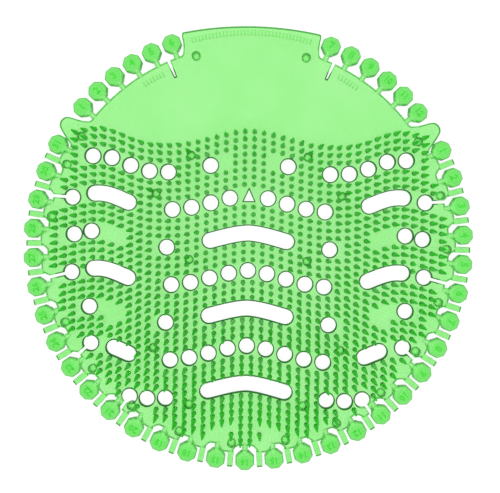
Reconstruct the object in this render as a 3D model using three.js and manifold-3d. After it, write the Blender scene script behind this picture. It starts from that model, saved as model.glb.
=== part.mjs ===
// Urinal screen: one soft moulded mat with bristles, drain holes and a ring of numbered pull tabs
import * as THREE from 'three';
import { mergeVertices } from 'three/addons/utils/BufferGeometryUtils.js';
import Module from 'manifold-3d';

// Sheet, in millimetres: z = 0 is under the feet, and the flap points along +Y
const sheetThickness = 1.8;
const footHeight = 2.5;
const sheetRadius = 82.8;
const sink = 0.6;

// Pull tabs: a round-cornered pad on a neck, with a short rib between the date tabs
const neckLength = 2.25;
const padWidth = 7.7;
const padLength = 7.5;
const padThickness = 3.4;
const padSides = 8;
const padFaceInset = 1.1;
const padFaceRise = 0.9;
const neckWidth = 2.3;
const dateCount = 31;
const dateStep = 7.8;
const monthCount = 6;
const monthStep = 5.88;
const firstMonthAngle = 38.9;
const ribWidth = 2.35;
const ribRootRise = 2.9;
const ribLength = 5.6;

// Flap at the top, with a flatter arc than the sheet and hooked corners
const flapRise = 7.5;
const flapArcRadius = 137;
const flapGap = 1.05;
const flapHook = 0.8;
const flapHookHeight = 4.8;
const flapArcSteps = 12;

// Lobe between months and dates: millimetres beyond the sheet's edge, and degrees
const lobeCorners = [[0.5, 28.3], [8.8, 31], [10, 32.2], [10, 33.4], [8.8, 34.6], [3.2, 35.7], [0.3, 37]];

// Radial slits between the last two month tabs of each side
const slitAngle = 65.7;
const slitDepth = 7;
const slitMouthWidth = 1.3;
const slitFootWidth = 0.5;

// Wave that every row of holes, slots and bristles follows
const waveDepth = 6.4;
const troughX = 34;
const secondCrestX = 62;
const crestSharpness = 0.8;
const secondCrestSharpness = 1.6;

// Drain holes: rows of round holes one period apart, with slots half way between them
const firstRowY = 20.57;
const rowPeriod = 31;
const rowCount = 3;
const holeRadius = 3.07;
const holeSides = 8;
const holePitch = 7.876;
const holesEachSide = 4;
const topRowX = [16, 33.4, 41.2, 49, 56.8, 64.6];
const slotWidth = 6.2;
const slotSteps = 6;
const centreSlotHalfLength = 15.8;
const sideSlotInnerX = [49.6, 49.4, 48.6];
const sideSlotOuterX = [63.6, 63.6, 54.7];
const loneHoles = [[33.6, 0.5], [64.7, 0.5], [33.6, 1.5], [65.1, 1.5]];
const rimHoles = [[10.9, 2.8], [7.1, -57.45], [11.15, -62.4]];
const pointerHeight = 4.7;
const pointerWidth = 4.3;

// Keyholes: a round hole near the rim with a slit that runs out between a rib and a neck.
// Each is given by its distance in from the edge, its angle and the angle of the slit's mouth.
const keyholes = [[7.7, 14.4, 13.4], [9.15, -9.5, -10], [6.4, -32.7, -33.5], [3.6, -52.7, -52.9]];
const keySlitWidth = 1.2;

// Feet on the back: under every second rib, and pairs inside
const footRadius = 1.95;
const footSides = 6;
const ribsPerFoot = 2;
const footInset = 0.5;
const ribsWithoutFoot = [4];
const rimFeet = [[0.3, 32.2], [1.5, 73.7]];
const innerFeet = [[24.2, 36.8], [38.5, 20.8], [24.4, -6.4], [38.8, -43.1], [23.6, -66.4]];

// Bristles: the solid holds every second one of a field of slender pegs, as three-sided spikes
const bristleHeight = 8;
const bristleRadius = 1.5;
const columnPitch = 3.874;
const bristleRowPitch = 3.1;
const rowsAboveFirst = 8;
const bristleFieldMargin = 2.2;
const bristleClearance = 0.35;
const bristleStep = 2;
const barePatches = [
  { x: 55.3, y: 3.5, halfWidth: 6.3, halfHeight: 4 },
  { x: 56, y: -25.8, halfWidth: 6.3, halfHeight: 5.2 },
  { x: 9.7, y: 34.9, halfWidth: 3.4, halfHeight: 3.4 },
  { x: 10.3, y: -76.3, halfWidth: 5, halfHeight: 3.4 }
];

const sheetBottom = footHeight;
const sheetTop = footHeight + sheetThickness;
const padDistance = sheetRadius + neckLength + padLength / 2;
const flapTop = sheetRadius + flapRise;
const colour = new THREE.Color().setRGB(0.45, 0.86, 0.38, THREE.SRGBColorSpace);

function polar(radius, degrees) {
  const angle = THREE.MathUtils.degToRad(degrees);
  return new THREE.Vector2(radius * Math.cos(angle), radius * Math.sin(angle));
}

function mirrored(points) {
  return points.map((point) => new THREE.Vector2(-point.x, point.y)).reverse();
}

// Solids and joins
const wasm = await Module();
wasm.setup();

function solidFrom(geometry) {
  geometry.deleteAttribute('normal');
  geometry.deleteAttribute('uv');
  const merged = mergeVertices(geometry, 1e-4);
  return new wasm.Manifold(new wasm.Mesh({
    numProp: 3,
    vertProperties: new Float32Array(merged.attributes.position.array),
    triVerts: new Uint32Array(merged.index.array)
  }));
}

function plate(points, low, high) {
  const geometry = new THREE.ExtrudeGeometry(new THREE.Shape(points), {
    depth: high - low,
    bevelEnabled: false
  });
  geometry.translate(0, 0, low);
  return solidFrom(geometry);
}

function cutter(points) {
  return plate(points, sheetBottom - 1, sheetTop + 1);
}

// How far a row lies below its crest at a distance from the middle line
function rowDrop(x) {
  const distance = Math.abs(x);
  const ease = (share) => (1 - Math.cos(Math.PI * share)) / 2;
  if (distance < troughX) {
    return waveDepth * ease(distance / troughX) ** crestSharpness;
  }
  if (distance < secondCrestX) {
    const share = (distance - troughX) / (secondCrestX - troughX);
    return waveDepth * (1 - ease(share) ** secondCrestSharpness);
  }
  return waveDepth * ease((distance - secondCrestX) / troughX) ** crestSharpness;
}

function onRow(x, period) {
  return new THREE.Vector2(x, firstRowY - period * rowPeriod - rowDrop(x));
}

// Outline of the sheet with its ribs and necks
function bar(angle, width, root, tip) {
  const along = polar(1, angle);
  const side = polar(width / 2, angle + 90);
  return [
    along.clone().multiplyScalar(root).sub(side),
    along.clone().multiplyScalar(tip).sub(side),
    along.clone().multiplyScalar(tip).add(side),
    along.clone().multiplyScalar(root).add(side)
  ];
}

function dateAngle(index) {
  return 270 + (index - (dateCount - 1) / 2) * dateStep;
}

function monthAngle(index) {
  return firstMonthAngle + index * monthStep;
}

function neck(angle) {
  return bar(angle, neckWidth, sheetRadius, padDistance - padLength / 2 + sink);
}

function flapEdgeY(x) {
  return flapTop - flapArcRadius + Math.sqrt(flapArcRadius ** 2 - x ** 2);
}

function flapHalfWidth() {
  return polar(padDistance, monthAngle(monthCount - 1)).x - padWidth / 2 - flapGap + flapHook;
}

function flapSide() {
  const halfWidth = flapHalfWidth();
  const cornerY = flapEdgeY(halfWidth);
  return [
    new THREE.Vector2(halfWidth - flapHook, cornerY - 1.6 * flapHookHeight),
    new THREE.Vector2(halfWidth - flapHook, cornerY - flapHookHeight),
    new THREE.Vector2(halfWidth, cornerY - flapHookHeight / 3),
    new THREE.Vector2(halfWidth, cornerY - sink)
  ];
}

function flapArc() {
  const points = [];
  for (let step = 0; step <= flapArcSteps; step += 1) {
    const x = (flapHalfWidth() - sink) * (1 - 2 * step / flapArcSteps);
    points.push(new THREE.Vector2(x, flapEdgeY(x)));
  }
  return points;
}

function sheetOutline() {
  const points = [];
  for (let index = 0; index < dateCount; index += 1) {
    points.push(...neck(dateAngle(index)));
    if (index < dateCount - 1) {
      const root = sheetRadius + ribRootRise;
      points.push(...bar(dateAngle(index + 0.5), ribWidth, root, root + ribLength));
    }
  }
  const crown = lobeCorners.map(([rise, angle]) => polar(sheetRadius + rise, angle));
  for (let index = 0; index < monthCount; index += 1) {
    crown.push(...neck(monthAngle(index)));
  }
  crown.push(...flapSide());
  return [...points, ...crown, ...flapArc(), ...mirrored(crown)];
}

// Pad of a tab: an eight-sided cushion with a smaller raised face
function pad(angle) {
  const bottom = (sheetBottom + sheetTop - padThickness) / 2;
  const top = bottom + padThickness;
  const halfLength = padLength / 2;
  const cornerRatio = 1 / Math.cos(Math.PI / padSides);
  const profile = [
    [0, bottom],
    [halfLength, bottom],
    [halfLength, top - padFaceRise],
    [halfLength - padFaceInset, top],
    [0, top]
  ].map(([radius, z]) => new THREE.Vector2(radius * cornerRatio, z));
  const geometry = new THREE.LatheGeometry(profile, padSides, Math.PI / padSides);
  const place = polar(padDistance, angle);
  geometry.rotateX(Math.PI / 2);
  geometry.scale(1, padWidth / padLength, 1);
  geometry.rotateZ(THREE.MathUtils.degToRad(angle));
  geometry.translate(place.x, place.y, 0);
  return solidFrom(geometry);
}

function tabPads() {
  const pads = [];
  for (let index = 0; index < dateCount; index += 1) {
    pads.push(pad(dateAngle(index)));
  }
  for (let index = 0; index < monthCount; index += 1) {
    pads.push(pad(monthAngle(index)), pad(180 - monthAngle(index)));
  }
  return pads;
}

// Places of the round holes, each with its mirror image
function holePlaces() {
  const places = [];
  for (let row = 0; row < rowCount; row += 1) {
    for (let index = row === 0 ? 1 : 0; index <= holesEachSide; index += 1) {
      places.push(onRow(index * holePitch, row));
    }
  }
  places.push(...topRowX.map((x) => onRow(x, -0.5)));
  places.push(...loneHoles.map(([x, period]) => onRow(x, period)));
  places.push(...rimHoles.map(([inset, angle]) => polar(sheetRadius - inset, angle)));
  places.push(...keyholes.map(([inset, angle]) => polar(sheetRadius - inset, angle)));
  const others = places.filter((place) => place.x > 0).map((place) => new THREE.Vector2(-place.x, place.y));
  return [...places, ...others];
}

function roundPoints(centre, radius, sides) {
  const points = [];
  for (let side = 0; side < sides; side += 1) {
    points.push(polar(radius, (side + 0.5) * 360 / sides).add(centre));
  }
  return points;
}

// Slot that follows the wave, with three-point round ends
function slotLine(fromX, toX, period) {
  const line = [];
  for (let step = 0; step <= slotSteps; step += 1) {
    line.push(onRow(fromX + (toX - fromX) * step / slotSteps, period));
  }
  return line;
}

function slotPoints(line) {
  const half = slotWidth / 2;
  const upper = [];
  const lower = [];
  line.forEach((point, index) => {
    const before = line[Math.max(index - 1, 0)];
    const after = line[Math.min(index + 1, line.length - 1)];
    const along = after.clone().sub(before).normalize();
    const side = new THREE.Vector2(-along.y, along.x).multiplyScalar(half);
    const end = along.multiplyScalar(half);
    if (index === 0) {
      upper.push(point.clone().sub(end));
      upper.push(point.clone().sub(end.clone().multiplyScalar(0.7)).add(side.clone().multiplyScalar(0.7)));
      lower.push(point.clone().sub(end.clone().multiplyScalar(0.7)).sub(side.clone().multiplyScalar(0.7)));
    }
    upper.push(point.clone().add(side));
    lower.push(point.clone().sub(side));
    if (index === line.length - 1) {
      upper.push(point.clone().add(end.clone().multiplyScalar(0.7)).add(side.clone().multiplyScalar(0.7)));
      upper.push(point.clone().add(end));
      lower.push(point.clone().add(end.clone().multiplyScalar(0.7)).sub(side.clone().multiplyScalar(0.7)));
    }
  });
  return [...lower, ...upper.reverse()];
}

function slotLines() {
  const lines = [];
  for (let row = 0; row < rowCount; row += 1) {
    lines.push(slotLine(-centreSlotHalfLength, centreSlotHalfLength, row + 0.5));
    lines.push(slotLine(sideSlotInnerX[row], sideSlotOuterX[row], row));
    lines.push(slotLine(-sideSlotOuterX[row], -sideSlotInnerX[row], row));
  }
  return lines;
}

// Narrow cuts, each given by its two ends and its width there
function slitEnds() {
  const ends = [];
  for (const [inset, angle, mouthAngle] of keyholes) {
    const mouth = polar(sheetRadius + ribRootRise + 1, mouthAngle);
    ends.push([polar(sheetRadius - inset, angle), mouth, keySlitWidth, keySlitWidth]);
  }
  const slitFoot = polar(sheetRadius - slitDepth, slitAngle);
  const slitMouth = polar(sheetRadius + 1, slitAngle);
  ends.push([slitFoot, slitMouth, slitFootWidth, slitMouthWidth]);
  const others = ends.map(([foot, mouth, footWidth, mouthWidth]) => [
    new THREE.Vector2(-foot.x, foot.y),
    new THREE.Vector2(-mouth.x, mouth.y),
    footWidth,
    mouthWidth
  ]);
  return [...ends, ...others];
}

function slitPoints([foot, mouth, footWidth, mouthWidth]) {
  const along = mouth.clone().sub(foot).normalize();
  const side = new THREE.Vector2(-along.y, along.x);
  return [
    foot.clone().addScaledVector(side, -footWidth / 2),
    mouth.clone().addScaledVector(side, -mouthWidth / 2),
    mouth.clone().addScaledVector(side, mouthWidth / 2),
    foot.clone().addScaledVector(side, footWidth / 2)
  ];
}

// Triangular hole at the top of the first row
function pointerPoints() {
  const centre = onRow(0, 0);
  return [
    new THREE.Vector2(-pointerWidth / 2, -pointerHeight / 2).add(centre),
    new THREE.Vector2(pointerWidth / 2, -pointerHeight / 2).add(centre),
    new THREE.Vector2(0, pointerHeight / 2).add(centre)
  ];
}

// Feet on the back
function footPlaces() {
  const places = [];
  for (let index = 0; index < dateCount - 1; index += ribsPerFoot) {
    if (!ribsWithoutFoot.includes(index)) {
      places.push(polar(sheetRadius - footInset, dateAngle(index + 0.5)));
    }
  }
  const pairs = [
    ...rimFeet.map(([inset, angle]) => polar(sheetRadius - inset, angle)),
    ...innerFeet.map(([x, y]) => new THREE.Vector2(x, y))
  ];
  places.push(...pairs, ...mirrored(pairs));
  return places;
}

// Bristles
function distanceToSegment(point, from, to) {
  const along = to.clone().sub(from);
  const reach = point.clone().sub(from).dot(along) / along.lengthSq();
  const nearest = from.clone().addScaledVector(along, THREE.MathUtils.clamp(reach, 0, 1));
  return point.distanceTo(nearest);
}

function inPatch(place, { x, y, halfWidth, halfHeight }) {
  return ((Math.abs(place.x) - x) / halfWidth) ** 2 + ((place.y - y) / halfHeight) ** 2 < 1;
}

function distanceToLine(place, line) {
  return Math.min(...line.slice(1).map((point, index) => distanceToSegment(place, line[index], point)));
}

function bristlePlaces() {
  const holes = holePlaces();
  const lines = slotLines();
  const slits = slitEnds();
  const room = bristleRadius + bristleClearance;
  const isClear = (place) => {
    const patch = barePatches.some((bare) => inPatch(place, bare));
    const hole = holes.some((centre) => centre.distanceTo(place) < holeRadius + room);
    const pointer = onRow(0, 0).distanceTo(place) < pointerHeight / 2 + room;
    const slit = slits.some((ends) => distanceToLine(place, ends.slice(0, 2)) < keySlitWidth / 2 + room);
    const slot = lines.some((line) => distanceToLine(place, line) < slotWidth / 2 + room);
    return !(patch || hole || pointer || slit || slot);
  };
  const fieldRadius = sheetRadius - bristleFieldMargin;
  const columns = Math.ceil(fieldRadius / columnPitch);
  const places = [];
  for (let column = -columns; column < columns; column += 1) {
    const x = (column + 0.5) * columnPitch;
    for (let row = rowsAboveFirst; row * bristleRowPitch > -2 * fieldRadius; row -= 1) {
      const place = onRow(x, 0);
      place.y += (row + 0.5) * bristleRowPitch;
      const kept = (column + row) % bristleStep === 0;
      if (kept && place.length() < fieldRadius && isClear(place)) {
        places.push(place);
      }
    }
  }
  return places;
}

function bristle(place) {
  const geometry = new THREE.ConeGeometry(bristleRadius, bristleHeight + sink, 3);
  geometry.rotateX(Math.PI / 2);
  geometry.translate(place.x, place.y, sheetTop - sink + (bristleHeight + sink) / 2);
  return solidFrom(geometry);
}

// The mat
const cuts = [
  ...holePlaces().map((place) => cutter(roundPoints(place, holeRadius, holeSides))),
  ...slotLines().map((line) => cutter(slotPoints(line))),
  ...slitEnds().map((ends) => cutter(slitPoints(ends))),
  cutter(pointerPoints())
];
const sheet = plate(sheetOutline(), sheetBottom, sheetTop).subtract(wasm.Manifold.union(cuts));
const footOutlines = footPlaces().map((place) => roundPoints(place, footRadius, footSides));
const feet = footOutlines.map((points) => plate(points, 0, sheetBottom + sink));
const bristles = bristlePlaces().map(bristle);
const mat = wasm.Manifold.union([sheet, ...tabPads(), ...feet, ...bristles]);

const moulded = mat.getMesh();
const geometry = new THREE.BufferGeometry();
geometry.setAttribute('position', new THREE.BufferAttribute(moulded.vertProperties, 3));
geometry.setIndex(new THREE.BufferAttribute(moulded.triVerts, 1));

const screen = new THREE.Mesh(geometry, new THREE.MeshStandardMaterial({
  color: colour,
  roughness: 0.35,
  metalness: 0
}));
screen.name = 'screen';
screen.position.y = (padDistance + padLength / 2 - flapTop) / 2;

const part = new THREE.Group();
part.add(screen);
export default part;
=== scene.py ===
import math
import random

import bmesh
import bpy
from mathutils import Matrix, Vector


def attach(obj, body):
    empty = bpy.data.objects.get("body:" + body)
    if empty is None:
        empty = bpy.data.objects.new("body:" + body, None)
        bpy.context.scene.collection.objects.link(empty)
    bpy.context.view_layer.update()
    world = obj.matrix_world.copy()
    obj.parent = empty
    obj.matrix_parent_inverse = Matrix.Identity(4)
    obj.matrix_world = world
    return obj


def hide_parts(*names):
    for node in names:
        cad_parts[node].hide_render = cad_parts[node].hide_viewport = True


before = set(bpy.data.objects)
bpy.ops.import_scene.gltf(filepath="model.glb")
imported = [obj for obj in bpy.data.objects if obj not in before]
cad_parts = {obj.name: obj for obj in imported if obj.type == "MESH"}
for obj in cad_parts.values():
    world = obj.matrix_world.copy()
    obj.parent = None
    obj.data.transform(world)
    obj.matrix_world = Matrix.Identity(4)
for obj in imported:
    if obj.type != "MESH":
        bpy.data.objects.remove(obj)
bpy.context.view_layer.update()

# Camera
# The mat lies flat and is seen from straight above, from about a hand's length. The lens
# hangs a little above the middle of the ring, so tall pegs lean away from that point.
camera_data = bpy.data.cameras.new("camera_above")
camera_data.sensor_width = 36.0
camera_data.lens = 40.25
camera_data.shift_x = 0.004
camera_data.shift_y = -0.063
camera_data.dof.use_dof = False
camera = bpy.data.objects.new("camera_above", camera_data)
camera.location = (-0.0003, 0.0136, 0.2343)
camera.rotation_euler = (0.0, 0.0, 0.01612)
bpy.context.scene.collection.objects.link(camera)
bpy.context.scene.camera = camera

# Sheet of the mat
# One round sheet of soft see-through plastic, injection moulded with everything on it.
# Its edge swings out to each rib and in to each neck, and all its edges are a little round.
sheet_radius = 82.8
sheet_bottom = 2.5
sheet_thickness = 1.8
sheet_top = sheet_bottom + sheet_thickness
edge_round = 0.42
sink = 0.6
date_count = 31
date_step = 7.8
month_count = 6
month_step = 5.88
first_month_angle = 38.9
rib_root_rise = 2.9
neck_recess_share = 0.2
edge_swing_share = 0.55
edge_step = 0.65
corner_cut = 0.25
lobe_first_angle = 27.9
lobe_last_angle = 37.6
lobe_corners = [
    (0.5, 28.3),
    (8.8, 31),
    (10, 32.2),
    (10, 33.4),
    (8.8, 34.6),
    (3.2, 35.7),
    (0.3, 37),
]
flap_root_angles = (68.4, 69.0, 70.2)
flap_top = sheet_radius + 7.5
flap_arc_radius = 137.0
flap_half_width = 28.73
flap_hook = 0.8
flap_hook_height = 4.8
flap_corner_round = 1.0
flap_corner_drop = 0.1
flap_arc_steps = 24


def polar(radius, degrees):
    angle = math.radians(degrees)
    return Vector((radius * math.cos(angle), radius * math.sin(angle)))


def date_angle(index):
    return 270 + (index - (date_count - 1) / 2) * date_step


def month_angle(index):
    return first_month_angle + index * month_step


def rounded(points, rounds):
    """Cuts the corners of an open line, and keeps its two ends."""
    for _ in range(rounds):
        cut = [points[0]]
        for a, b in zip(points, points[1:]):
            cut += [a.lerp(b, corner_cut), a.lerp(b, 1 - corner_cut)]
        points = cut + [points[-1]]
    return points


def ease(share):
    return (1 - math.cos(math.pi * min(max(share, 0.0), 1.0))) / 2


def date_edge(degrees):
    """Radius of the edge, low at each neck and high at each rib."""
    half_step = date_step / 2
    from_neck = abs((degrees - date_angle(0) + half_step) % date_step - half_step)
    swing = (from_neck / half_step - neck_recess_share) / edge_swing_share
    return sheet_radius + rib_root_rise * ease(swing)


# Cuts in the edge: a keyhole's round hole opens into a slit that runs out past a neck, and
# one plain slit crosses the edge near each end of the months. Lists give inset and angles.
hole_radius = 3.07
hole_sides = 28
keyholes = [(7.7, 14.4, 13.4), (9.15, -9.5, -10), (6.4, -32.7, -33.5), (3.6, -52.7, -52.9)]
key_slit_width = 1.2
slit_angle = 65.7
slit_depth = 7.0
slit_mouth_width = 1.3
slit_foot_width = 0.5
cut_margin = 0.1


def keyhole_path(inset, degrees, mouth_degrees):
    centre = polar(sheet_radius - inset, degrees)
    mouth = polar(date_edge(mouth_degrees), mouth_degrees)
    out = math.atan2(mouth.y - centre.y, mouth.x - centre.x)
    half = key_slit_width / 2
    side = Vector((math.sin(out), -math.cos(out))) * half
    gap = math.asin(half / hole_radius)
    ring = []
    for step in range(hole_sides + 1):
        turn = out - gap - (2 * math.pi - 2 * gap) * step / hole_sides
        ring.append(centre + Vector((math.cos(turn), math.sin(turn))) * hole_radius)
    return [mouth + side] + ring + [mouth - side]


def slit_path():
    foot = polar(sheet_radius - slit_depth, slit_angle)
    mouth = polar(sheet_radius, slit_angle)
    side = polar(1, slit_angle - 90)
    return [
        mouth + side * slit_mouth_width / 2,
        foot + side * slit_foot_width / 2,
        foot - side * slit_foot_width / 2,
        mouth - side * slit_mouth_width / 2,
    ]


def edge_run(first, last, radius_at, cuts):
    """Points of the edge from one angle to another, with the cuts let in."""
    points = []
    cuts = sorted(cuts)
    steps = round((last - first) / edge_step)
    for step in range(steps + 1):
        degrees = first + (last - first) * step / steps
        while cuts and degrees > cuts[0][0]:
            points += cuts.pop(0)[2]
        near = [angle for angle, width, _ in all_cuts if abs(degrees - angle) < width]
        if not near:
            points.append(polar(radius_at(degrees), degrees))
    return points


key_reach = math.degrees(key_slit_width / 2 / sheet_radius) + cut_margin
slit_reach = math.degrees(slit_mouth_width / 2 / sheet_radius) + cut_margin
key_cuts = [
    (mouth, key_reach, keyhole_path(inset, angle, mouth)) for inset, angle, mouth in keyholes
]
slit_cuts = [(slit_angle, slit_reach, slit_path())]
all_cuts = key_cuts + slit_cuts


def flap_edge_y(x):
    return flap_top - flap_arc_radius + math.sqrt(flap_arc_radius ** 2 - x ** 2)


corner_y = flap_edge_y(flap_half_width)
flap_arc_half = flap_half_width - flap_corner_round
flap_side = [
    polar(sheet_radius, flap_root_angles[1]),
    polar(sheet_radius, flap_root_angles[2]),
    Vector((flap_half_width - flap_hook, corner_y - flap_hook_height)),
    Vector((flap_half_width, corner_y - flap_hook_height / 3)),
    Vector((flap_half_width, corner_y - flap_corner_drop)),
    Vector((flap_arc_half, flap_edge_y(flap_arc_half))),
]
flap_arc = []
for step in range(1, flap_arc_steps + 1):
    x = flap_arc_half * (1 - step / flap_arc_steps)
    flap_arc.append(Vector((x, flap_edge_y(x))))

right_edge = edge_run(-90, lobe_first_angle, date_edge, key_cuts)
lobe = [polar(sheet_radius + rise, angle) for rise, angle in lobe_corners]
right_edge += rounded(lobe, 2)
right_edge += edge_run(
    lobe_last_angle, flap_root_angles[0], lambda degrees: sheet_radius, slit_cuts
)
right_edge += rounded(flap_side, 2)
right_edge += flap_arc
left_edge = [Vector((-point.x, point.y)) for point in reversed(right_edge[1:-1])]

# Drain holes and slots
# Rows of round holes follow a wave across the mat, with curved slots half way between the
# rows. Each is left open by a pin in the mould, so its rim is a little round too.
wave_depth = 6.4
crest_fullness = 0.8
slope_fullness = 1.6
trough_x = 34.0
second_crest_x = 62.0
first_row_y = 20.57
row_period = 31.0
hole_pitch = 7.876
holes_each_side = 4
top_row_x = [16, 33.4, 41.2, 49, 56.8, 64.6]
lone_holes = [(33.6, 0.5), (64.7, 0.5), (33.6, 1.5), (65.1, 1.5)]
rim_holes = [(10.9, 2.8), (7.1, -57.45), (11.15, -62.4)]
slot_width = 6.2
slot_steps = 14
slot_end_steps = 8
centre_slot_half = 15.8
side_slots = [(49.6, 63.6), (49.4, 63.6), (48.6, 54.7)]
pointer_height = 4.7
pointer_width = 4.3


def row_drop(x):
    """How far a row lies below its crest at a place along it."""
    distance = abs(x)
    if distance < trough_x:
        return wave_depth * ease(distance / trough_x) ** crest_fullness
    if distance < second_crest_x:
        share = (distance - trough_x) / (second_crest_x - trough_x)
        return wave_depth * (1 - ease(share) ** slope_fullness)
    return wave_depth * ease((distance - second_crest_x) / trough_x) ** crest_fullness


def on_row(x, period):
    return Vector((x, first_row_y - period * row_period - row_drop(x)))


def ring(centre, radius, sides):
    return [centre + polar(radius, 360 * side / sides) for side in range(sides)]


def slot_ring(line):
    """Outline of a slot along a line, with half round ends."""
    half = slot_width / 2
    along = [(b - a).normalized() for a, b in zip(line, line[1:])]
    along = [along[0]] + [(a + b).normalized() for a, b in zip(along, along[1:])] + [along[-1]]
    lower = [p + Vector((t.y, -t.x)) * half for p, t in zip(line, along)]
    upper = [p - Vector((t.y, -t.x)) * half for p, t in zip(line, along)]
    far, near = [], []
    for step in range(1, slot_end_steps):
        turn = Matrix.Rotation(math.pi * step / slot_end_steps, 2)
        far.append(line[-1] + turn @ (lower[-1] - line[-1]))
        near.append(line[0] + turn @ (upper[0] - line[0]))
    return lower + far + upper[::-1] + near


hole_places = []
for row in range(3):
    for index in range(1 if row == 0 else 0, holes_each_side + 1):
        hole_places.append(on_row(index * hole_pitch, row))
hole_places += [on_row(x, -0.5) for x in top_row_x]
hole_places += [on_row(x, period) for x, period in lone_holes]
hole_places += [polar(sheet_radius - inset, angle) for inset, angle in rim_holes]
hole_places += [Vector((-p.x, p.y)) for p in hole_places if p.x > 0]

slot_lines = []
for row, (inner, outer) in enumerate(side_slots):
    for first, last, period in [
        (-centre_slot_half, centre_slot_half, row + 0.5),
        (inner, outer, row),
        (-outer, -inner, row),
    ]:
        slot_lines.append([
            on_row(first + (last - first) * step / slot_steps, period)
            for step in range(slot_steps + 1)
        ])

crest = on_row(0, 0)
pointer = [
    crest + Vector((-pointer_width / 2, -pointer_height / 2)),
    crest + Vector((pointer_width / 2, -pointer_height / 2)),
    crest + Vector((0, pointer_height / 2)),
]

sheet_curve = bpy.data.curves.new("sheet_outline", "CURVE")
sheet_curve.dimensions = "2D"
sheet_curve.fill_mode = "BOTH"
sheet_curve.extrude = sheet_thickness / 2 - edge_round
sheet_curve.bevel_depth = edge_round
sheet_curve.bevel_resolution = 0
sheet_curve.offset = -edge_round
merge_distance = 0.0005
outlines = [right_edge + left_edge]
outlines += [ring(place, hole_radius, hole_sides) for place in hole_places]
outlines += [slot_ring(line) for line in slot_lines]
outlines.append(pointer)
for outline in outlines:
    spline = sheet_curve.splines.new("POLY")
    spline.points.add(len(outline) - 1)
    for point, corner in zip(spline.points, outline):
        point.co = (corner.x, corner.y, 0, 1)
    spline.use_cyclic_u = True


def mesh_of_curve(curve, name):
    """Turns a curve or text into a closed mesh with its doubles merged."""
    holder = bpy.data.objects.new(name, curve)
    bpy.context.scene.collection.objects.link(holder)
    depsgraph = bpy.context.evaluated_depsgraph_get()
    mesh = bpy.data.meshes.new_from_object(holder.evaluated_get(depsgraph))
    bpy.data.objects.remove(holder)
    bm = bmesh.new()
    bm.from_mesh(mesh)
    bpy.data.meshes.remove(mesh)
    bmesh.ops.remove_doubles(bm, verts=bm.verts, dist=merge_distance)
    bmesh.ops.recalc_face_normals(bm, faces=bm.faces)
    return bm


def blank(bm, name):
    """A part of the moulding as an object in millimetres, to be joined later."""
    mesh = bpy.data.meshes.new(name)
    bm.to_mesh(mesh)
    bm.free()
    piece = bpy.data.objects.new(name, mesh)
    bpy.context.scene.collection.objects.link(piece)
    return piece


sheet_middle = sheet_bottom + sheet_thickness / 2
sheet_bm = mesh_of_curve(sheet_curve, "sheet")
bmesh.ops.translate(sheet_bm, verts=sheet_bm.verts, vec=(0, 0, sheet_middle))
sheet = blank(sheet_bm, "sheet")
joined = []


def add_copies(bm, shape, places):
    """Adds a copy of one small mesh at every place."""
    for place in places:
        known = len(bm.verts)
        bm.from_mesh(shape)
        bm.verts.ensure_lookup_table()
        bmesh.ops.transform(bm, matrix=place, verts=bm.verts[known:])


def turned(radius, degrees, height=0.0):
    """Place on the ring at an angle, with its own X pointing outwards."""
    turn = Matrix.Rotation(math.radians(degrees), 4, "Z")
    return turn @ Matrix.Translation((radius, 0, height))


# Ribs between the date tabs
# A straight bar of the same plastic stands out between each pair of tabs. It is a shade
# thicker than the sheet, so its root shows as a line just inside the edge.
rib_width = 2.35
rib_length = 6.3
rib_thickness = 2.2
rib_overlap = 0.7
rib_round = 0.3
rib_root = sheet_radius + rib_root_rise - rib_overlap
rib_bm = bmesh.new()
bmesh.ops.create_cube(rib_bm, size=1.0)
bmesh.ops.scale(rib_bm, vec=(rib_length, rib_width, rib_thickness), verts=rib_bm.verts)
bmesh.ops.bevel(
    rib_bm,
    geom=rib_bm.edges[:],
    offset=rib_round,
    segments=2,
    profile=0.5,
    affect="EDGES",
    material=-1,
)
rib_shape = bpy.data.meshes.new("rib_shape")
rib_bm.to_mesh(rib_shape)
rib_bm.free()
ribs_bm = bmesh.new()
rib_middle = rib_root + rib_length / 2
rib_height = sheet_bottom + rib_thickness / 2
add_copies(ribs_bm, rib_shape, [
    turned(rib_middle, date_angle(index + 0.5), rib_height) for index in range(date_count - 1)
])
joined.append(blank(ribs_bm, "ribs"))

# Necks and pads of the tabs
# Each tab is an eight-sided cushion with a smaller raised face, on a thin round neck that
# tears when the tab is pulled. 31 go round the sides and the bottom, and 12 along the top.
neck_radius = 1.15
neck_length = 2.25
pad_width = 7.7
pad_length = 7.5
pad_thickness = 3.4
pad_face_inset = 1.25
pad_face_rise = 0.75
pad_round = 0.3
pad_distance = sheet_radius + neck_length + pad_length / 2
tab_angles = [date_angle(index) for index in range(date_count)]
tab_angles += [month_angle(index) for index in range(month_count)]
tab_angles += [180 - month_angle(index) for index in range(month_count)]

neck_bm = bmesh.new()
neck_span = neck_length + 2 * sink
bmesh.ops.create_cone(
    neck_bm,
    cap_ends=True,
    segments=12,
    radius1=neck_radius,
    radius2=neck_radius,
    depth=neck_span,
)
bmesh.ops.rotate(neck_bm, verts=neck_bm.verts, matrix=Matrix.Rotation(math.pi / 2, 3, "Y"))
neck_shape = bpy.data.meshes.new("neck_shape")
neck_bm.to_mesh(neck_shape)
neck_bm.free()
necks_bm = bmesh.new()
neck_middle = sheet_radius + neck_length / 2
add_copies(necks_bm, neck_shape, [
    turned(neck_middle, angle, sheet_middle) for angle in tab_angles
])
joined.append(blank(necks_bm, "necks"))

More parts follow.
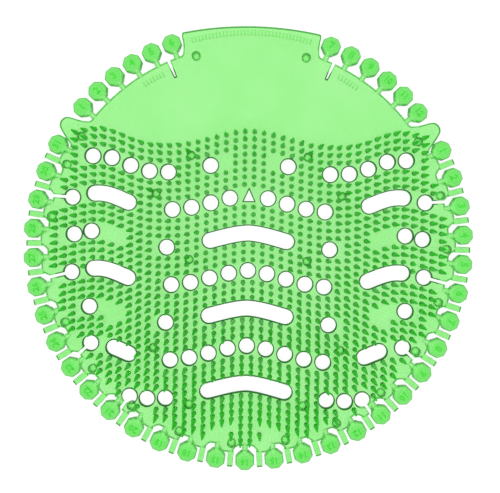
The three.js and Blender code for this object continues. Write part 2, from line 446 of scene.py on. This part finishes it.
pad_bm = bmesh.new()
flat_to_corner = 1 / math.cos(math.pi / 8)
body_height = pad_thickness - pad_face_rise
bmesh.ops.create_cone(
    pad_bm,
    cap_ends=True,
    segments=8,
    radius1=pad_length / 2 * flat_to_corner,
    radius2=pad_length / 2 * flat_to_corner,
    depth=body_height,
    matrix=Matrix.Rotation(math.pi / 8, 4, "Z") @ Matrix.Translation((0, 0, body_height / 2)),
)
top = [face for face in pad_bm.faces if face.normal.z > 0.9]
raised = bmesh.ops.extrude_face_region(pad_bm, geom=top)
bmesh.ops.delete(pad_bm, geom=top, context="FACES")
raised_verts = [part for part in raised["geom"] if isinstance(part, bmesh.types.BMVert)]
shrink = 1 - pad_face_inset / (pad_length / 2)
bmesh.ops.translate(pad_bm, verts=raised_verts, vec=(0, 0, pad_face_rise))
bmesh.ops.scale(pad_bm, verts=raised_verts, vec=(shrink, shrink, 1))
bmesh.ops.scale(pad_bm, verts=pad_bm.verts, vec=(1, pad_width / pad_length, 1))
bmesh.ops.bevel(
    pad_bm,
    geom=pad_bm.edges[:],
    offset=pad_round,
    segments=2,
    profile=0.5,
    affect="EDGES",
    material=-1,
)
pad_shape = bpy.data.meshes.new("pad_shape")
pad_bm.to_mesh(pad_shape)
pad_bm.free()
pad_bottom = sheet_middle - pad_thickness / 2
pads_bm = bmesh.new()
add_copies(pads_bm, pad_shape, [
    turned(pad_distance, angle, pad_bottom) for angle in tab_angles
])
joined.append(blank(pads_bm, "pads"))

# Feet on the back
# Short round pegs hold the sheet off the drain, so that liquid runs under it. They are
# moulded with the sheet, under every second rib and in pairs further in.
foot_radius = 1.95
foot_taper = 0.15
foot_rim_round = 1.3
foot_inset = 0.5
ribs_without_foot = (4,)
rim_feet = [(0.3, 32.2), (1.5, 73.7)]
inner_feet = [(24.2, 36.8), (38.5, 20.8), (24.4, -6.4), (38.8, -43.1), (23.6, -66.4)]
foot_places = [
    polar(sheet_radius - foot_inset, date_angle(index + 0.5))
    for index in range(0, date_count - 1, 2)
    if index not in ribs_without_foot
]
pairs = [polar(sheet_radius - inset, angle) for inset, angle in rim_feet]
pairs += [Vector(place) for place in inner_feet]
foot_places += pairs + [Vector((-place.x, place.y)) for place in pairs]
level_margin = 0.01
foot_bm = bmesh.new()
foot_span = sheet_bottom + sink
bmesh.ops.create_cone(
    foot_bm,
    cap_ends=True,
    segments=20,
    radius1=foot_radius - foot_taper,
    radius2=foot_radius,
    depth=foot_span,
    matrix=Matrix.Translation((0, 0, foot_span / 2)),
)
rim = [edge for edge in foot_bm.edges if all(vert.co.z < level_margin for vert in edge.verts)]
bmesh.ops.bevel(
    foot_bm,
    geom=rim,
    offset=foot_rim_round,
    segments=4,
    profile=0.5,
    affect="EDGES",
    material=-1,
)
foot_shape = bpy.data.meshes.new("foot_shape")
foot_bm.to_mesh(foot_shape)
foot_bm.free()
feet_bm = bmesh.new()
add_copies(feet_bm, foot_shape, [
    Matrix.Translation((place.x, place.y, 0)) for place in foot_places
])
joined.append(blank(feet_bm, "feet"))

# Bristles
# Over a thousand slender pegs stop splashes. They stand in columns whose rows follow the
# wave, taper to a blunt tip, and lean a little because the plastic is soft. They get lower
# towards the rim, and those along the upper edge of a low slot are lower too.
bristle_height = 8.0
full_height_radius = 35.0
rim_bristle_share = 0.8
slot_bristle_share = 0.6
bristle_base = 1.15
bristle_tip = 0.36
bristle_tip_round = 0.2
column_pitch = 3.874
bristle_row_pitch = 3.1
rows_above_first = 8
rows_below_first = 40
field_inset = 2.2
field_radius = sheet_radius - field_inset
low_side_slots = (7, 8)
bristle_room = 1.15
low_slot_room = 0.3
lobe_field = (28.4, 36.0, 4.5)
bare_patches = [
    (55.3, 3.5, 6.3, 4),
    (60, 6.5, 1, 1),
    (56.3, -27.2, 5.6, 4.6),
    (9.7, 34.9, 3.4, 3.4),
    (5.8, -74.8, 1, 1),
    (10.3, -76.3, 5, 3.4),
    (52.3, 35.1, 1, 1),
    (67.6, 18.4, 1.7, 3),
    (67.4, -12.7, 1.7, 2.8),
    (75.5, 0.8, 1, 1),
    (75.5, 41.1, 1, 1),
    (59.4, -42.6, 2, 3.2),
]
key_places = [polar(sheet_radius - inset, angle) for inset, angle, _ in keyholes]
key_lines = [
    [centre, polar(sheet_radius + rib_root_rise, mouth)]
    for centre, (_, _, mouth) in zip(key_places, keyholes)
]
key_lines.append([
    polar(sheet_radius - slit_depth, slit_angle),
    polar(sheet_radius + 1, slit_angle),
])
key_lines += [[Vector((-p.x, p.y)) for p in line] for line in key_lines]
key_places += [Vector((-place.x, place.y)) for place in key_places]


def distance_to_line(place, line):
    """Distance from a place to the nearest point of an open line."""
    nearest = []
    for a, b in zip(line, line[1:]):
        share = min(max((place - a).dot(b - a) / (b - a).length_squared, 0), 1)
        nearest.append((place - a.lerp(b, share)).length)
    return min(nearest)


def is_clear(place):
    """Whether a bristle's foot stands on plain sheet."""
    for x, y, half_width, half_height in bare_patches:
        if ((abs(place.x) - x) / half_width) ** 2 + ((place.y - y) / half_height) ** 2 < 1:
            return False
    for hole in hole_places + key_places:
        if (place - hole).length < hole_radius + bristle_room:
            return False
    if (place - crest).length < pointer_height / 2 + bristle_room:
        return False
    for line in key_lines:
        if distance_to_line(place, line) < key_slit_width / 2 + bristle_room:
            return False
    for index, line in enumerate(slot_lines):
        room = low_slot_room if index in low_side_slots else bristle_room
        if distance_to_line(place, line) < slot_width / 2 + room:
            return False
    return True


def in_field(place):
    """Whether a place is on the part of the sheet that bristles cover."""
    first, last, rise = lobe_field
    beside = first < math.degrees(math.atan2(place.y, abs(place.x))) < last
    return place.length < (sheet_radius + rise if beside else field_radius)


def is_above_slot(place):
    """Whether a bristle is the first above a slot in the lower half of the mat."""
    below_it = place - Vector((0, 1))
    reach = slot_width / 2 + bristle_row_pitch
    return place.y < 0 and any(
        distance_to_line(below_it, line) < distance_to_line(place, line) < reach
        for line in slot_lines
    )


bristle_places = []
columns = math.ceil(field_radius / column_pitch)
for column in range(-columns, columns):
    x = (column + 0.5) * column_pitch
    for row in range(rows_above_first, -rows_below_first, -1):
        place = on_row(x, 0) + Vector((0, (row + 0.5) * bristle_row_pitch))
        if in_field(place) and is_clear(place):
            bristle_places.append(place)

bristle_bm = bmesh.new()
bristle_span = bristle_height + sink
bmesh.ops.create_cone(
    bristle_bm,
    cap_ends=True,
    segments=8,
    radius1=bristle_base,
    radius2=bristle_tip,
    depth=bristle_span,
    matrix=Matrix.Translation((0, 0, bristle_span / 2 - sink)),
)
tip_level = bristle_height - level_margin
tip = [edge for edge in bristle_bm.edges if all(v.co.z > tip_level for v in edge.verts)]
bmesh.ops.bevel(
    bristle_bm,
    geom=tip,
    offset=bristle_tip_round,
    segments=1,
    profile=0.5,
    affect="EDGES",
    material=-1,
)
bristle_shape = bpy.data.meshes.new("bristle_shape")
bristle_bm.to_mesh(bristle_shape)
bristle_bm.free()
random.seed(31)
most_lean = 0.035
bristles_bm = bmesh.new()
stances = []
for place in bristle_places:
    lean = Matrix.Rotation(random.uniform(-most_lean, most_lean), 4, "X")
    lean = lean @ Matrix.Rotation(random.uniform(-most_lean, most_lean), 4, "Y")
    spin = Matrix.Rotation(random.uniform(0, math.pi), 4, "Z")
    towards_rim = (place.length - full_height_radius) / (field_radius - full_height_radius)
    share = 1 - (1 - rim_bristle_share) * ease(towards_rim)
    if is_above_slot(place):
        share *= slot_bristle_share
    tall = Matrix.Diagonal((1, 1, share, 1))
    stances.append(Matrix.Translation((place.x, place.y, sheet_top)) @ lean @ tall @ spin)
add_copies(bristles_bm, bristle_shape, stances)
joined.append(blank(bristles_bm, "bristles"))

# Numbers and ticks
# Plain raised numbers count the days and the months on the tabs. Plain raised ticks fill the
# band under the flap's edge and the places beside the two slits.
number_rise = 0.35
number_slope = 0.2
number_size = 4.1
two_digit_share = 0.86
number_sink = 0.15
tick_height = 1.8
tick_width = 0.62
tick_rise = 0.55
band_radius = 87.4
band_tick_step = 0.95
band_ticks_each_side = 17
slit_tick_radius = 78.6
slit_tick_first = 27.4
slit_tick_step = 1.05
slit_tick_count = 7


def number_mesh(number):
    text = bpy.data.curves.new("number", "FONT")
    text.body = str(number)
    text.size = number_size if number < 10 else number_size * two_digit_share
    text.align_x = "CENTER"
    text.align_y = "CENTER"
    text.resolution_u = 2
    text.bevel_depth = number_slope
    text.bevel_resolution = 0
    text.offset = -number_slope / 2
    text.extrude = (number_rise + number_sink) / 2 - number_slope
    bm = mesh_of_curve(text, "number")
    bmesh.ops.translate(bm, verts=bm.verts, vec=(0, 0, (number_rise - number_sink) / 2))
    mesh = bpy.data.meshes.new("number_%d" % number)
    bm.to_mesh(mesh)
    bm.free()
    return mesh


numbered = [(date_count - index, date_angle(index)) for index in range(date_count)]
for index in range(month_count):
    numbered.append((2 * month_count - index, month_angle(index)))
for index in range(month_count):
    numbered.append((1 + index, 180 - month_angle(index)))
number_shapes = {number: number_mesh(number) for number in range(1, date_count + 1)}
numbers_bm = bmesh.new()
upright = Matrix.Rotation(-math.pi / 2, 4, "Z")
pad_top = pad_bottom + pad_thickness
for number, angle in numbered:
    place = turned(pad_distance, angle, pad_top) @ upright
    add_copies(numbers_bm, number_shapes[number], [place])
joined.append(blank(numbers_bm, "numbers"))

tick_bm = bmesh.new()
bmesh.ops.create_cube(tick_bm, size=1.0)
bmesh.ops.scale(tick_bm, vec=(tick_height, tick_width, 2 * tick_rise), verts=tick_bm.verts)
tick_shape = bpy.data.meshes.new("tick_shape")
tick_bm.to_mesh(tick_shape)
tick_bm.free()
ticks_bm = bmesh.new()
tick_places = []
for step in range(-band_ticks_each_side, band_ticks_each_side + 1):
    tick_places.append(turned(band_radius, 90 + step * band_tick_step, sheet_top))
for side in (-1, 1):
    for step in range(slit_tick_count):
        angle = 90 - side * (slit_tick_first + slit_tick_step * step)
        tick_places.append(turned(slit_tick_radius, angle, sheet_top))
add_copies(ticks_bm, tick_shape, tick_places)
joined.append(blank(ticks_bm, "ticks"))

# The moulding as one piece
# The mat comes out of its mould whole, so sheet, ribs, tabs, feet and bristles are joined
# into one closed body. Flat faces stay flat and the round walls are smooth.
crease_angle = 38
flat_face_share = 0.999
metres_per_millimetre = 0.001
for part in joined:
    union = sheet.modifiers.new("join_" + part.name, "BOOLEAN")
    union.operation = "UNION"
    union.solver = "MANIFOLD"
    union.object = part
depsgraph = bpy.context.evaluated_depsgraph_get()
mat_mesh = bpy.data.meshes.new_from_object(sheet.evaluated_get(depsgraph))
mat_mesh.name = "moulded_mat"
for part in joined + [sheet]:
    bpy.data.objects.remove(part)

middle_y = (pad_distance + pad_length / 2 - flap_top) / 2
to_metres = Matrix.Scale(metres_per_millimetre, 4) @ Matrix.Translation((0, middle_y, 0))
mat_mesh.transform(to_metres)
mat_mesh.set_sharp_from_angle(angle=math.radians(crease_angle))
for face in mat_mesh.polygons:
    face.use_smooth = abs(face.normal.z) < flat_face_share
mat = bpy.data.objects.new("moulded_mat", mat_mesh)
bpy.context.scene.collection.objects.link(mat)

# Green soft plastic
# Clear green vinyl with a faint haze: light comes through it, deeper where it is thicker.
# Its skin has the fine grain of the mould and slow waves from the way that it flowed in.
sheet_green = (0.52, 0.94, 0.45, 1)
pale_sheet_green = (0.6, 0.96, 0.53, 1)
# Painted shade for walls and round edges: deepest at holes, paler at the tabs, palest on the
# rim.
hole_edge_shade_green = (0.004, 0.15, 0.01, 1)
rim_edge_pale_shade_green = (0.2, 0.85, 0.17, 1)
tab_edge_shade_green = (0.03, 0.55, 0.025, 1)
# Bristles are deep green, with painted shade darker in the middle than towards the rim.
middle_bristle_shade_green = (0.006, 0.7, 0.004, 1)
outer_bristle_green = (0.07, 0.92, 0.055, 1)
plastic = bpy.data.materials.new("green_soft_vinyl")
plastic.use_nodes = True
nodes = plastic.node_tree.nodes
links = plastic.node_tree.links
shader = nodes["Principled BSDF"]
output = nodes["Material Output"]
shader.inputs["IOR"].default_value = 1.46
shader.inputs["Specular IOR Level"].default_value = 0.2
shader.inputs["Specular Tint"].default_value = (0.25, 0.8, 0.22, 1)
coordinates = nodes.new("ShaderNodeTexCoord")

# Walls and round edges get painted shade, a deep green beside the flat sheet, standing in for
# light caught in them.
# They are less clear and less smooth than the polished flats of the mould.
facing = nodes.new("ShaderNodeNewGeometry")
axes = nodes.new("ShaderNodeSeparateXYZ")
upright_share = nodes.new("ShaderNodeMath")
upright_share.operation = "ABSOLUTE"
wall = nodes.new("ShaderNodeMapRange")
wall.interpolation_type = "SMOOTHSTEP"
wall.inputs["From Min"].default_value = 0.98
wall.inputs["From Max"].default_value = 0.72
links.new(facing.outputs["Normal"], axes.inputs["Vector"])
links.new(axes.outputs["Z"], upright_share.inputs[0])
links.new(upright_share.outputs["Value"], wall.inputs["Value"])
clearness = nodes.new("ShaderNodeMapRange")
clearness.inputs["To Min"].default_value = 0.9
clearness.inputs["To Max"].default_value = 0.25
links.new(wall.outputs["Result"], clearness.inputs["Value"])
links.new(clearness.outputs["Result"], shader.inputs["Transmission Weight"])
softness = nodes.new("ShaderNodeMapRange")
softness.inputs["To Min"].default_value = 0.08
softness.inputs["To Max"].default_value = 0.3
links.new(wall.outputs["Result"], softness.inputs["Value"])
links.new(softness.outputs["Result"], shader.inputs["Roughness"])

# The flat sheet has a faint haze of two near greens.
haze = nodes.new("ShaderNodeTexNoise")
haze.inputs["Scale"].default_value = 45.0
haze.inputs["Detail"].default_value = 3.0
links.new(coordinates.outputs["Object"], haze.inputs["Vector"])
tint = nodes.new("ShaderNodeValToRGB")
tint.color_ramp.elements[0].position = 0.3
tint.color_ramp.elements[0].color = sheet_green
tint.color_ramp.elements[1].position = 0.7
tint.color_ramp.elements[1].color = pale_sheet_green
links.new(haze.outputs["Fac"], tint.inputs["Fac"])

# Height and distance from the middle tell the edges of holes, rim, tabs and bristles apart.
# Painted shade is deepest at edges of holes, paler on tab edges and palest on the thin rim and
# under the sheet; bristles are deep green, with painted shade darkest in the middle and
# clearing towards the rim.
places = nodes.new("ShaderNodeSeparateXYZ")
links.new(coordinates.outputs["Object"], places.inputs["Vector"])
above = nodes.new("ShaderNodeMapRange")
above.inputs["From Min"].default_value = 0.0043
above.inputs["From Max"].default_value = 0.0058
links.new(places.outputs["Z"], above.inputs["Value"])
flat = nodes.new("ShaderNodeCombineXYZ")
links.new(places.outputs["X"], flat.inputs["X"])
links.new(places.outputs["Y"], flat.inputs["Y"])
outwards = nodes.new("ShaderNodeVectorMath")
outwards.operation = "LENGTH"
links.new(flat.outputs["Vector"], outwards.inputs["Vector"])
at_rim = nodes.new("ShaderNodeMapRange")
at_rim.inputs["From Min"].default_value = 0.0795
at_rim.inputs["From Max"].default_value = 0.0805
links.new(outwards.outputs["Value"], at_rim.inputs["Value"])
past_rim = nodes.new("ShaderNodeMapRange")
past_rim.inputs["From Min"].default_value = 0.0862
past_rim.inputs["From Max"].default_value = 0.0868
links.new(outwards.outputs["Value"], past_rim.inputs["Value"])
# Painted shade on walls, paler at the rim than at the tabs.
rim_shade_green = nodes.new("ShaderNodeMix")
rim_shade_green.data_type = "RGBA"
rim_shade_green.inputs["A"].default_value = rim_edge_pale_shade_green
rim_shade_green.inputs["B"].default_value = tab_edge_shade_green
links.new(past_rim.outputs["Result"], rim_shade_green.inputs["Factor"])
below = nodes.new("ShaderNodeMapRange")
below.inputs["From Min"].default_value = 0.0026
below.inputs["From Max"].default_value = 0.0022
links.new(places.outputs["Z"], below.inputs["Value"])
paler_shade_share = nodes.new("ShaderNodeMath")
paler_shade_share.operation = "MAXIMUM"
links.new(at_rim.outputs["Result"], paler_shade_share.inputs[0])
links.new(below.outputs["Result"], paler_shade_share.inputs[1])
# Painted shade at hole edges, paler at the rim and under the sheet.
edge_shade_green = nodes.new("ShaderNodeMix")
edge_shade_green.data_type = "RGBA"
edge_shade_green.inputs["A"].default_value = hole_edge_shade_green
links.new(rim_shade_green.outputs["Result"], edge_shade_green.inputs["B"])
links.new(paler_shade_share.outputs["Value"], edge_shade_green.inputs["Factor"])
# Painted shade on bristles fades out from the middle towards the rim.
bristle_shade_fade = nodes.new("ShaderNodeMapRange")
bristle_shade_fade.inputs["From Min"].default_value = 0.025
bristle_shade_fade.inputs["From Max"].default_value = 0.07
links.new(outwards.outputs["Value"], bristle_shade_fade.inputs["Value"])
bristle_shaded_green = nodes.new("ShaderNodeMix")
bristle_shaded_green.data_type = "RGBA"
bristle_shaded_green.inputs["A"].default_value = middle_bristle_shade_green
bristle_shaded_green.inputs["B"].default_value = outer_bristle_green
links.new(bristle_shade_fade.outputs["Result"], bristle_shaded_green.inputs["Factor"])
wall_shade_green = nodes.new("ShaderNodeMix")
wall_shade_green.data_type = "RGBA"
links.new(edge_shade_green.outputs["Result"], wall_shade_green.inputs["A"])
links.new(bristle_shaded_green.outputs["Result"], wall_shade_green.inputs["B"])
links.new(above.outputs["Result"], wall_shade_green.inputs["Factor"])
# Walls and bristles take their painted shade in place of the hazy sheet green.
shade_share = nodes.new("ShaderNodeMath")
shade_share.operation = "MAXIMUM"
links.new(wall.outputs["Result"], shade_share.inputs[0])
links.new(above.outputs["Result"], shade_share.inputs[1])
shaded_tint = nodes.new("ShaderNodeMix")
shaded_tint.data_type = "RGBA"
links.new(wall_shade_green.outputs["Result"], shaded_tint.inputs["B"])
links.new(shade_share.outputs["Value"], shaded_tint.inputs["Factor"])
links.new(tint.outputs["Color"], shaded_tint.inputs["A"])
links.new(shaded_tint.outputs["Result"], shader.inputs["Base Color"])

# Fine grain of the mould, on slow waves from the flow.
grain = nodes.new("ShaderNodeTexNoise")
grain.inputs["Scale"].default_value = 2200.0
grain.inputs["Detail"].default_value = 2.0
links.new(coordinates.outputs["Object"], grain.inputs["Vector"])
flow = nodes.new("ShaderNodeTexNoise")
flow.inputs["Scale"].default_value = 160.0
flow.inputs["Detail"].default_value = 1.0
links.new(coordinates.outputs["Object"], flow.inputs["Vector"])
grain_bump = nodes.new("ShaderNodeBump")
grain_bump.inputs["Strength"].default_value = 0.1
grain_bump.inputs["Distance"].default_value = 0.00002
links.new(grain.outputs["Fac"], grain_bump.inputs["Height"])
flow_bump = nodes.new("ShaderNodeBump")
flow_bump.inputs["Strength"].default_value = 0.1
flow_bump.inputs["Distance"].default_value = 0.0002
links.new(flow.outputs["Fac"], flow_bump.inputs["Height"])
links.new(grain_bump.outputs["Normal"], flow_bump.inputs["Normal"])
links.new(flow_bump.outputs["Normal"], shader.inputs["Normal"])

# Thick places take up more of the light.
depth = nodes.new("ShaderNodeVolumeAbsorption")
depth.inputs["Color"].default_value = (0.11, 0.94, 0.0, 1)
depth.inputs["Density"].default_value = 240.0
links.new(depth.outputs["Volume"], output.inputs["Volume"])

mat_mesh.materials.clear()
mat_mesh.materials.append(plastic)
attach(mat, "root")
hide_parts("screen")

# Floor, lamp and surroundings
# The mat lies on a white table in even light from all round, with one large soft lamp above.
# The table glows a little where it is seen, so it looks white and still takes a shadow.
table_half = 1.5
table_grey = (0.2, 0.2, 0.2, 1)
table_glow = 0.89
lamp_place = (-0.05, 0.05, 0.7)
table_bm = bmesh.new()
bmesh.ops.create_grid(table_bm, x_segments=1, y_segments=1, size=table_half)
table_mesh = bpy.data.meshes.new("table")
table_bm.to_mesh(table_mesh)
table_bm.free()
table = bpy.data.objects.new("table", table_mesh)
bpy.context.scene.collection.objects.link(table)
table_paint = bpy.data.materials.new("white_table")
table_paint.use_nodes = True
table_nodes = table_paint.node_tree.nodes
table_links = table_paint.node_tree.links
table_shader = table_nodes["Principled BSDF"]
table_shader.inputs["Base Color"].default_value = table_grey
table_shader.inputs["Roughness"].default_value = 0.9
table_shader.inputs["Specular IOR Level"].default_value = 0.1
glow = table_nodes.new("ShaderNodeEmission")
light_path = table_nodes.new("ShaderNodeLightPath")
seen = table_nodes.new("ShaderNodeMath")
seen.operation = "MAXIMUM"
seen_clear = table_nodes.new("ShaderNodeMath")
seen_clear.operation = "MAXIMUM"
level = table_nodes.new("ShaderNodeMath")
level.operation = "MULTIPLY"
level.inputs[1].default_value = table_glow
both = table_nodes.new("ShaderNodeAddShader")
table_links.new(light_path.outputs["Is Camera Ray"], seen.inputs[0])
table_links.new(light_path.outputs["Is Glossy Ray"], seen.inputs[1])
table_links.new(seen.outputs["Value"], seen_clear.inputs[0])
table_links.new(light_path.outputs["Is Transmission Ray"], seen_clear.inputs[1])
table_links.new(seen_clear.outputs["Value"], level.inputs[0])
table_links.new(level.outputs["Value"], glow.inputs["Strength"])
table_links.new(table_shader.outputs["BSDF"], both.inputs[0])
table_links.new(glow.outputs["Emission"], both.inputs[1])
table_links.new(both.outputs["Shader"], table_nodes["Material Output"].inputs["Surface"])
table_mesh.materials.append(table_paint)

surroundings = bpy.data.worlds.new("even_light")
surroundings.use_nodes = True
sky = surroundings.node_tree.nodes["Background"]
sky.inputs["Color"].default_value = (1, 1, 1, 1)
sky.inputs["Strength"].default_value = 0.5
bpy.context.scene.world = surroundings

lamp_data = bpy.data.lights.new("soft_lamp", "AREA")
lamp_data.shape = "DISK"
lamp_data.size = 1.2
lamp_data.energy = 4.6
lamp = bpy.data.objects.new("soft_lamp", lamp_data)
lamp.location = lamp_place
lamp.rotation_euler = Vector(lamp_place).to_track_quat("Z", "Y").to_euler()
bpy.context.scene.collection.objects.link(lamp)

bpy.context.scene.view_settings.view_transform = "Standard"
